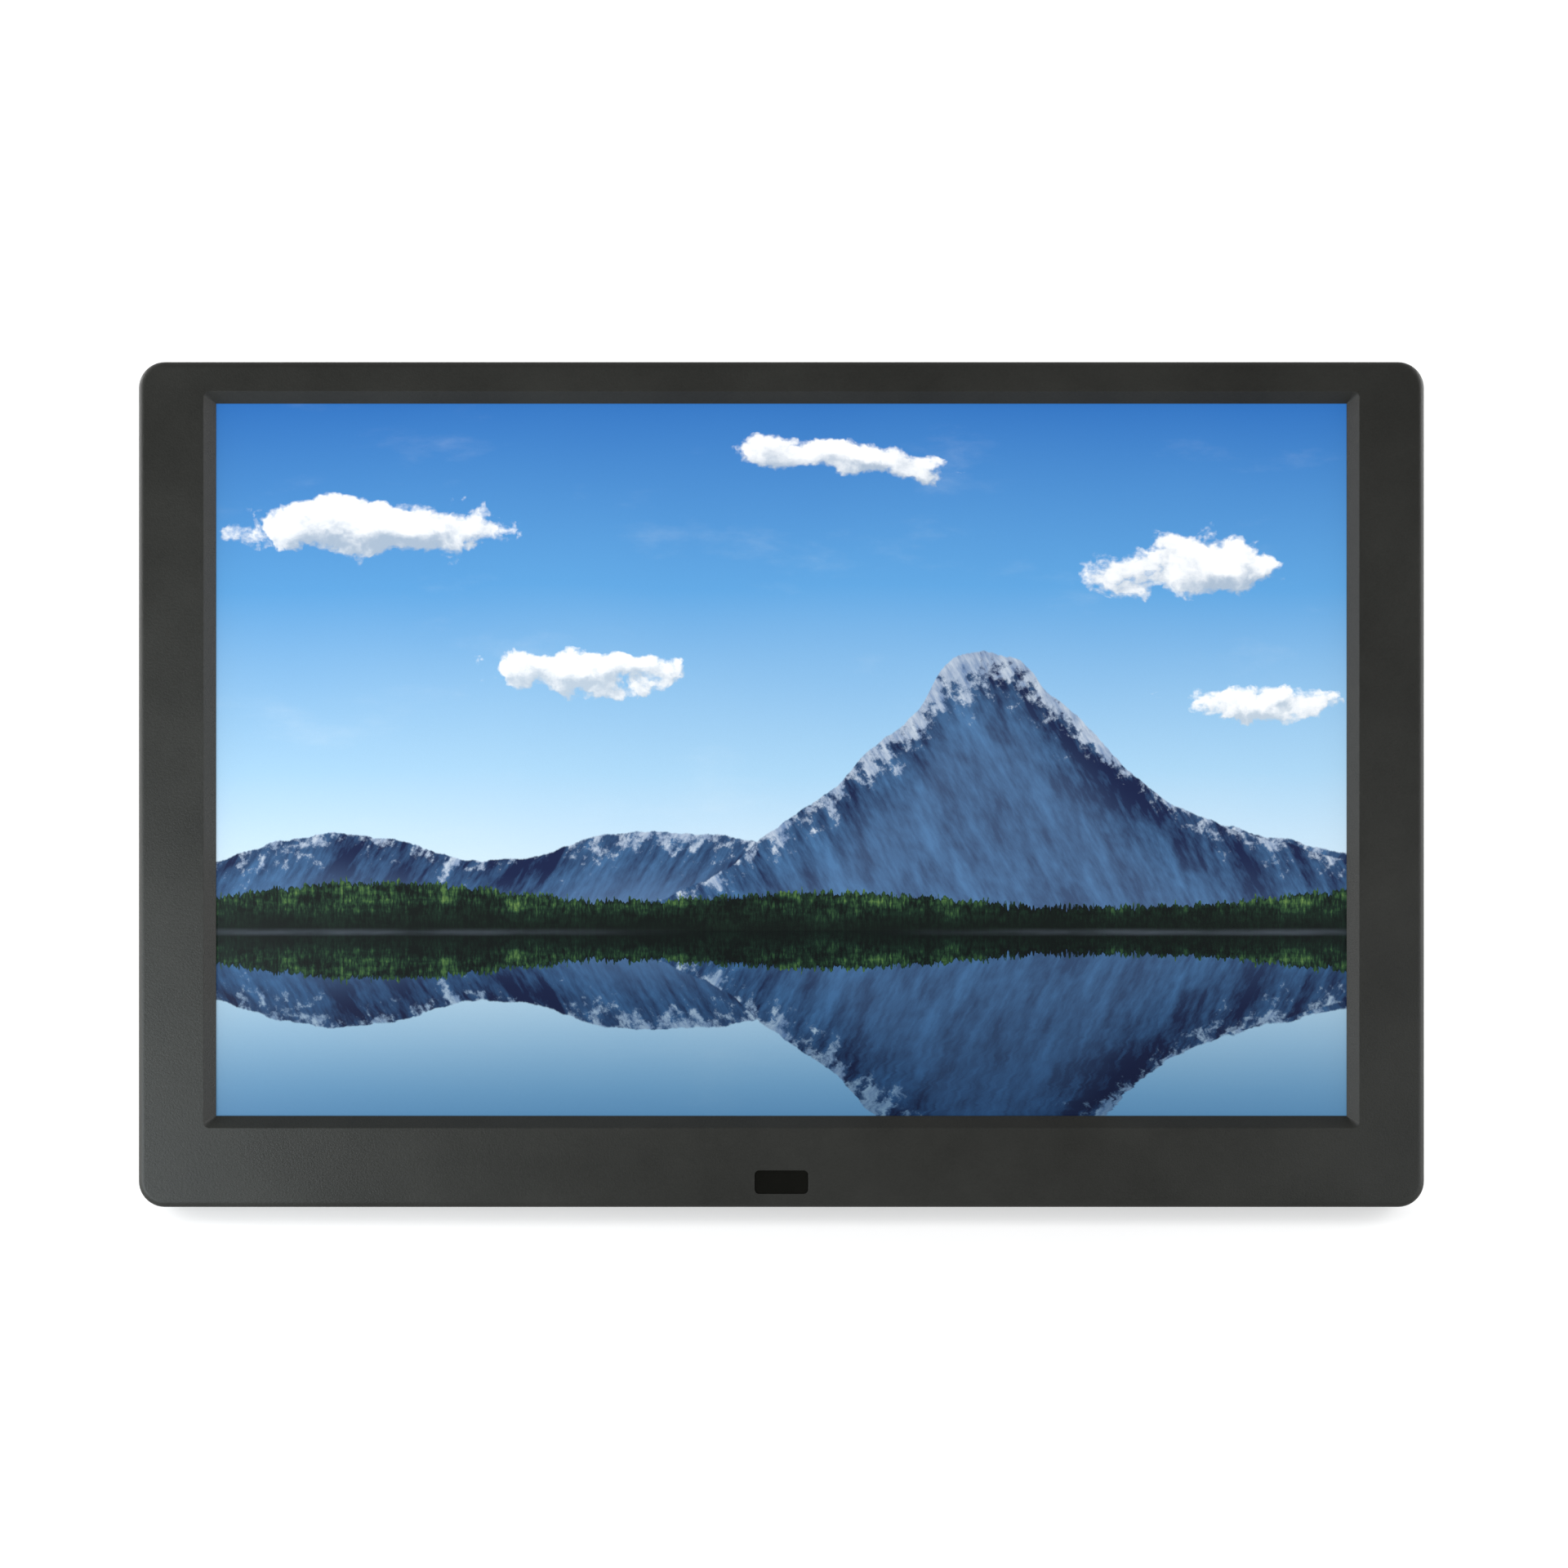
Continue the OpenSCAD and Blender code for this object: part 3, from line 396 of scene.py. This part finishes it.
def landscape(x, h):
    """Everything above the waterline, at x and height h."""
    colour = clouds(x, h)
    colour = snow_mountains(x, h, colour, FAR_RANGE, seed=27.0, side=1.0, haze=0.95)
    colour = snow_mountains(x, h, colour, PEAK, seed=33.0, side=-1.0, haze=0.3)
    return forest(x, h, colour, SHORE, seed=47.0)


def picture(place):
    """The whole picture: the landscape, and its reflection in rippled water."""
    x, y = picture_place(place)
    tree = x.tree
    water = y.step(0.0005, -0.0005)
    depth = (y * -1.0).larger(0.0)
    swell = noise(vector(tree, x * 0.3, y * 2.6, 81.0), 30.0, 4.0, 0.6)
    sway = swell * depth.step(-0.02, 0.5) * 0.05
    h = abs(y) + sway * 0.5
    colour = landscape(x + sway, h)
    depth_tint = blend(rgb(214, 226, 232), rgb(128, 158, 178), depth.step(0.0, 0.3))
    mirrored = blend(colour, depth_tint, water, "MULTIPLY")
    wisps = noise(vector(tree, x, y * 6.0, 91.0), 9.0, 4.0)
    mist = abs(y + 0.002).step(0.007, 0.0) * (wisps * 2.0 + 0.5)
    return blend(mirrored, rgb(104, 114, 128), (mist * abs(x).step(0.1, 0.5) * 0.4).clamped())


def picture_film():
    """Lit picture behind a satin film."""
    material, _, shader, place = surface("picture_film")
    colour = picture(place)
    grain = noise(place, 9000.0, 1.0)
    plug(blend(colour, (0.0, 0.0, 0.0), grain * 0.1 + 0.85), shader.inputs["Base Color"])
    plug(colour, shader.inputs["Emission Color"])
    plug(0.88, shader.inputs["Emission Strength"])
    plug(0.12, shader.inputs["Specular IOR Level"])
    plug(grain * 0.08 + 0.38, shader.inputs["Roughness"])
    bump(shader, grain, 0.004 * MM)
    return material


# ---- Materials ----

def moulded(name, colour, roughness, grain=0.3, depth=0.02, variation=0.25, specular=0.4, edge=0.0):
    """Moulded plastic or rubber: fine grain, soft blotches and rounded edges, with sizes in mm."""
    material, _, shader, place = surface(name)
    fine = noise(place, 1 / (grain * MM), 3.0, 0.6)
    broad = noise(place, 60.0, 3.0, 0.55)
    lighter = tuple(min(1.0, part * (1 + variation) + 0.004) for part in colour)
    darker = tuple(part * (1 - variation) for part in colour)
    tone = (fine * 0.8 + broad * 0.9 + 0.5).clamped()
    plug(blend(darker, lighter, tone), shader.inputs["Base Color"])
    plug((broad * 0.12 + fine * 0.1 + roughness).clamped(), shader.inputs["Roughness"])
    plug(specular, shader.inputs["Specular IOR Level"])
    bump(shader, fine, depth * MM, edge * MM)
    return material


def sheet_metal(name, colour, roughness, stretch=(1.0, 8.0, 8.0), scale=400.0, depth=0.004, edge=0.0):
    """Rolled or brushed metal with fine lines and a faint tarnish."""
    material, tree, shader, place = surface(name)
    mapping = tree.nodes.new("ShaderNodeMapping")
    plug(place, mapping.inputs["Vector"])
    mapping.inputs["Scale"].default_value = stretch
    lines = noise(Field(tree, mapping.outputs["Vector"]), scale, 3.0, 0.6)
    stain = noise(place, 90.0, 4.0, 0.6)
    darker = tuple(part * 0.78 for part in colour)
    plug(blend(darker, colour, (stain * 1.2 + lines * 0.5 + 0.6).clamped()), shader.inputs["Base Color"])
    plug(1.0, shader.inputs["Metallic"])
    plug((lines * 0.25 + stain * 0.15 + roughness).clamped(), shader.inputs["Roughness"])
    bump(shader, lines, depth * MM, edge * MM)
    return material


def button_plastic():
    """Black plastic with the raised symbols printed pale grey."""
    grain = 0.25 * MM
    symbol_height = 0.15 * MM
    print_start = 0.05 * MM
    print_end = 0.1 * MM
    outwards = -FACE_NORMAL
    _, symbol_top = span("button_menu", outwards)
    cap = symbol_top - symbol_height
    material, _, shader, place = surface("button_plastic")
    fine = noise(place, 1 / grain, 3.0, 0.6)
    proud = along(place, outwards) - cap
    printed = proud.step(print_start, print_end) * (fine * 0.5 + 0.9).clamped()
    plug(blend(rgb(24, 24, 25), rgb(196, 198, 200), printed), shader.inputs["Base Color"])
    plug(fine * 0.1 + printed * 0.15 + 0.4, shader.inputs["Roughness"])
    bump(shader, fine, 0.012 * MM)
    return material


def jack_plastic():
    """Glossy black plastic of the round sockets; the power inlet has a metal pin in its middle."""
    grain = 0.3 * MM
    pin_radius = 1.1 * MM
    soft_edge = 0.02 * MM
    mount = next(m for m in frame["record"]["mounts"] if m["name"] == "power_inlet")
    middle = Vector(mount["pos_m"])
    material, _, shader, place = surface("jack_plastic")
    up = along(place, FACE_UP) - middle.dot(FACE_UP)
    inwards = along(place, FACE_NORMAL) - middle.dot(FACE_NORMAL)
    pin = ((up * up + inwards * inwards) ** 0.5).step(pin_radius + soft_edge, pin_radius)
    fine = noise(place, 1 / grain, 3.0, 0.6)
    plug(blend(rgb(18, 18, 18), rgb(170, 168, 160), pin), shader.inputs["Base Color"])
    plug(pin, shader.inputs["Metallic"])
    plug(fine * 0.12 + 0.3, shader.inputs["Roughness"])
    bump(shader, fine, 0.006 * MM)
    return material


def socket_steel(node):
    """Stamped steel shell of a socket, with its dark insulator inside."""
    shell = 0.45 * MM
    soft_edge = 0.02 * MM
    material, _, shader, place = surface("socket_" + node)
    inside = 1.0
    for axis in (FACE_UP, FACE_NORMAL):
        low, high = span(node, axis)
        half_bore = (high - low) / 2 - shell
        reach = abs(along(place, axis) - (low + high) / 2)
        inside = reach.step(half_bore, half_bore - soft_edge) * inside
    stain = noise(place, 260.0, 4.0, 0.6)
    plug(blend(rgb(150, 152, 156), rgb(17, 17, 18), inside), shader.inputs["Base Color"])
    plug(1.0 - inside, shader.inputs["Metallic"])
    plug((stain * 0.3 + inside * 0.15 + 0.36).clamped(), shader.inputs["Roughness"])
    bump(shader, stain, 0.01 * MM, 0.1 * MM)
    return material


def board_material(name):
    """Green circuit board: solder mask over faint copper tracks."""
    material, _, shader, place = surface(name)
    tracks = cells(place, 420.0, "DISTANCE_TO_EDGE").step(0.05, 0.09)
    weave = noise(place, 1500.0, 2.0)
    colour = blend(rgb(20, 104, 60), rgb(8, 66, 38), tracks)
    plug(blend(colour, rgb(4, 50, 28), (weave + 0.4).clamped()), shader.inputs["Base Color"])
    plug(weave * 0.1 + 0.34, shader.inputs["Roughness"])
    bump(shader, tracks, -0.02 * MM)
    return material


# Finishes of the record's material slots; grain, depth and edge are in mm.
MOULDED = {
    "bezel_plastic": dict(colour=rgb(22, 22, 19), roughness=0.5, grain=0.35, depth=0.06, variation=0.35,
                          specular=0.18, edge=0.2),
    "cover_plastic": dict(colour=rgb(30, 30, 30), roughness=0.55, grain=0.55, depth=0.16,
                          variation=0.4, edge=0.35),
    "stand_plastic": dict(colour=rgb(24, 24, 25), roughness=0.45, grain=0.45, depth=0.11,
                          variation=0.4, edge=0.4),
    "smoked_acrylic": dict(colour=rgb(4, 4, 2), roughness=0.16, grain=0.2, depth=0.002,
                           variation=0.4, specular=0.04),
    "sensor_resin": dict(colour=rgb(30, 30, 34), roughness=0.25),
    "gasket_foam": dict(colour=rgb(24, 24, 24), roughness=0.9, grain=0.15, depth=0.08),
    "panel_glass": dict(colour=rgb(20, 22, 28), roughness=0.12, grain=0.5, depth=0.001),
    "prism_film": dict(colour=rgb(214, 218, 224), roughness=0.3, grain=0.1, depth=0.02, variation=0.06),
    "diffuser_film": dict(colour=rgb(238, 238, 238), roughness=0.6, grain=0.2,
                          depth=0.01, variation=0.04),
    "clear_acrylic": dict(colour=rgb(222, 232, 232), roughness=0.08, grain=0.8,
                          depth=0.002, variation=0.05),
    "reflector_film": dict(colour=rgb(244, 244, 244), roughness=0.35, grain=0.3,
                           depth=0.004, variation=0.03),
    "led_package": dict(colour=rgb(240, 222, 120), roughness=0.3, grain=0.3, depth=0.01, variation=0.1),
    "flex_circuit": dict(colour=rgb(196, 124, 44), roughness=0.35, grain=0.4, depth=0.01, variation=0.15),
    "flat_lead": dict(colour=rgb(226, 226, 216), roughness=0.45, grain=0.6, depth=0.02, variation=0.08),
    "chip_resin": dict(colour=rgb(28, 28, 30), roughness=0.55, grain=0.12, depth=0.01),
    "speaker_plastic": dict(colour=rgb(30, 30, 32), roughness=0.5),
    "grille_steel": dict(colour=rgb(24, 24, 25), roughness=0.38, grain=0.15, depth=0.006, edge=0.08),
    "cone_paper": dict(colour=rgb(28, 27, 26), roughness=0.85, grain=0.2, depth=0.06),
    "wire_jacket": dict(colour=rgb(168, 24, 22), roughness=0.45, grain=0.3, depth=0.01),
    "washer_nylon": dict(colour=rgb(224, 220, 204), roughness=0.45, grain=0.2,
                         depth=0.01, variation=0.06),
    "foot_rubber": dict(colour=rgb(18, 18, 18), roughness=0.75, grain=0.25, depth=0.04),
}

SHEET_METAL = {
    "tray_steel": dict(colour=rgb(198, 200, 204), roughness=0.38),
    "screw_steel": dict(colour=rgb(150, 152, 157), roughness=0.36, stretch=(1, 1, 1), scale=900.0),
    "black_screw_steel": dict(colour=rgb(70, 70, 74), roughness=0.42, stretch=(1, 1, 1), scale=900.0),
    "can_aluminium": dict(colour=rgb(206, 208, 212), roughness=0.32),
    "magnet_steel": dict(colour=rgb(160, 162, 168), roughness=0.35, stretch=(1, 1, 1), scale=700.0),
    "hanger_steel": dict(colour=rgb(138, 141, 146), roughness=0.42, stretch=(8.0, 1.0, 1.0), edge=0.2),
    "pin_steel": dict(colour=rgb(212, 212, 216), roughness=0.2, stretch=(1.0, 8.0, 8.0)),
}

MATERIALS = {
    "button_plastic": button_plastic(),
    "picture_film": picture_film(),
    "circuit_board": board_material("circuit_board"),
    "jack_plastic": jack_plastic(),
}
for slot, finish in MOULDED.items():
    MATERIALS[slot] = moulded(slot, **finish)
for slot, finish in SHEET_METAL.items():
    MATERIALS[slot] = sheet_metal(slot, **finish)


# Radius, in mm, of the soft edge that moulding, stamping or turning leaves on a node.
EDGE_RADII = {
    "stand_foot_pad": 0.3,
    "foot_left": 0.3,
    "foot_right": 0.3,
    "case_screws": 0.1,
    "hanger_screws": 0.1,
    "headphone_jack": 0.15,
    "dc_jack": 0.15,
}
BUTTON_EDGE = 0.1
SOCKETS = ("usb_port", "micro_usb_port", "sd_slot")
# The one mesh with a face that has no area.
UNEVEN_MESH = "ir_receiver"


def weld(node):
    """Merges points that coincide, which also drops faces that have no area."""
    merge = node.modifiers.new("weld", "WELD")
    merge.merge_threshold = 0.001 * MM


def soften(node, radius_mm):
    """Rounds a node's sharp edges, so that they catch the light."""
    weld(node)
    soft = node.modifiers.new("soft_edges", "BEVEL")
    soft.width = radius_mm * MM
    soft.segments = 2
    soft.limit_method = "ANGLE"
    soft.angle_limit = math.radians(32)
    soft.harden_normals = True


def dress_nodes():
    """Gives every CAD node its material, and the small rounded ones soft edges."""
    for part in frame["record"]["subparts"]:
        name = part["node"]
        node = NODES[name]
        material = socket_steel(name) if name in SOCKETS else MATERIALS[part["material_slot"]]
        node.data.materials.clear()
        node.data.materials.append(material)
        radius = BUTTON_EDGE if name.startswith("button_") else EDGE_RADII.get(name)
        if radius:
            soften(node, radius)
    weld(NODES[UNEVEN_MESH])


dress_nodes()


# ---- Camera, floor and lights ----

def camera():
    """A long lens straight in front of the face, as wide as the framing needs."""
    lens_mm = 120.0
    sensor_mm = 36.0
    share_of_view = 0.8167
    aim_right = 0.5 * MM
    aim_up = 0.2 * MM
    data = bpy.data.cameras.new("camera")
    data.lens = lens_mm
    data.sensor_width = sensor_mm
    distance = FRAME_WIDTH / share_of_view * lens_mm / sensor_mm
    face_height = (BEZEL_HIGH.z - BEZEL_LOW.z) / 2
    centre = Vector((0.0, (BEZEL_LOW.y + BEZEL_HIGH.y) / 2, BEZEL_LOW.z + face_height))
    centre += FACE_RIGHT * aim_right + FACE_UP * aim_up
    data.clip_end = 20.0
    eye = bpy.data.objects.new("camera", data)
    bpy.context.scene.collection.objects.link(eye)
    eye.location = centre + FACE_NORMAL * distance
    eye.rotation_euler = FACE_NORMAL.to_track_quat("Z", "Y").to_euler()
    bpy.context.scene.camera = eye


def floor():
    """Wide pale floor that glows: least behind the frame, as painted shade that deepens the shadows there, and
    most far away, where the lamps fall off.
    """
    half = 4.0
    painted_shade_centre = (0.0, 0.12, 0.0)
    painted_shade_glow, near_glow, far_glow = 0.34, 0.6, 1.05
    painted_shade_ends, near_starts = 0.04, 0.17
    near_ends, far_starts = 0.45, 1.0
    mesh = bpy.data.meshes.new("floor")
    corners = [(-half, -half, 0), (half, -half, 0), (half, half, 0), (-half, half, 0)]
    mesh.from_pydata(corners, [], [(0, 1, 2, 3)])
    plane = bpy.data.objects.new("floor", mesh)
    plane.location = painted_shade_centre
    bpy.context.scene.collection.objects.link(plane)
    paint = moulded("floor_paint", (0.3, 0.3, 0.3), roughness=0.8, grain=2.0, depth=0.01,
                    variation=0.01, specular=0.1)
    shader = paint.node_tree.nodes["Principled BSDF"]
    plug((1.0, 1.0, 1.0), shader.inputs["Emission Color"])
    position = paint.node_tree.nodes.new("ShaderNodeTexCoord").outputs["Object"]
    distance = length(Field(paint.node_tree, position))
    # Painted shade: the glow is weakest round the place behind the frame, so that the shadows there come out
    # darker.
    glow = distance.step(painted_shade_ends, near_starts) * (near_glow - painted_shade_glow) + painted_shade_glow
    # The glow grows far away to keep the distant floor white where the lamps fall off.
    glow = distance.step(near_ends, far_starts) * (far_glow - near_glow) + glow
    plug(glow, shader.inputs["Emission Strength"])
    mesh.materials.append(paint)


def softbox(name, place, target, size, power, colour=(1.0, 1.0, 1.0)):
    """Soft rectangular lamp at a place, turned towards a target, and not itself in the picture."""
    data = bpy.data.lights.new(name, "AREA")
    data.color = colour
    data.shape = "RECTANGLE"
    data.size = size[0]
    data.size_y = size[1]
    data.energy = power
    lamp = bpy.data.objects.new(name, data)
    bpy.context.scene.collection.objects.link(lamp)
    lamp.location = place
    lamp.rotation_euler = (Vector(place) - Vector(target)).to_track_quat("Z", "Y").to_euler()
    lamp.visible_camera = False


def studio_walls():
    """White walls that meet the far floor, and that light the frame only dimly."""
    dim = 0.3
    white = 1.0
    world = bpy.data.worlds.new("studio")
    world.use_nodes = True
    tree = world.node_tree
    rays = tree.nodes.new("ShaderNodeLightPath")
    seen = Field(tree, rays.outputs["Is Camera Ray"])
    background = tree.nodes["Background"]
    background.inputs["Color"].default_value = (1.0, 1.0, 1.0, 1.0)
    plug(seen * (white - dim) + dim, background.inputs["Strength"])
    bpy.context.scene.world = world


def lights():
    """Soft light from above, both sides and behind, with a small lamp near each lower corner."""
    bpy.context.scene.view_settings.view_transform = "Standard"
    middle = (0.0, 0.0, 0.08)
    cool_white = (0.86, 0.95, 1.0)
    softbox("overhead", (0.0, 0.45, 1.4), (0.0, 0.45, 0.0), size=(2.6, 2.6), power=14.0)
    softbox("left_side", (-0.85, 0.02, 0.29), middle, size=(1.3, 0.5), power=20.0)
    softbox("right_side", (0.85, 0.02, 0.29), middle, size=(1.3, 0.5), power=19.0)
    softbox("left_back", (-0.7, 0.8, 0.5), middle, size=(0.9, 0.9), power=7.0)
    softbox("right_back", (0.7, 0.8, 0.5), middle, size=(0.9, 0.9), power=4.0)
    for name, side, power in (("left_corner", -1.0, 0.85), ("right_corner", 1.0, 0.2)):
        place = (side * 0.2, -0.18, 0.03)
        corner = (side * 0.1, -0.03, 0.03)
        softbox(name, place, corner, size=(0.12, 0.12), power=power, colour=cool_white)


camera()
floor()
studio_walls()
lights()
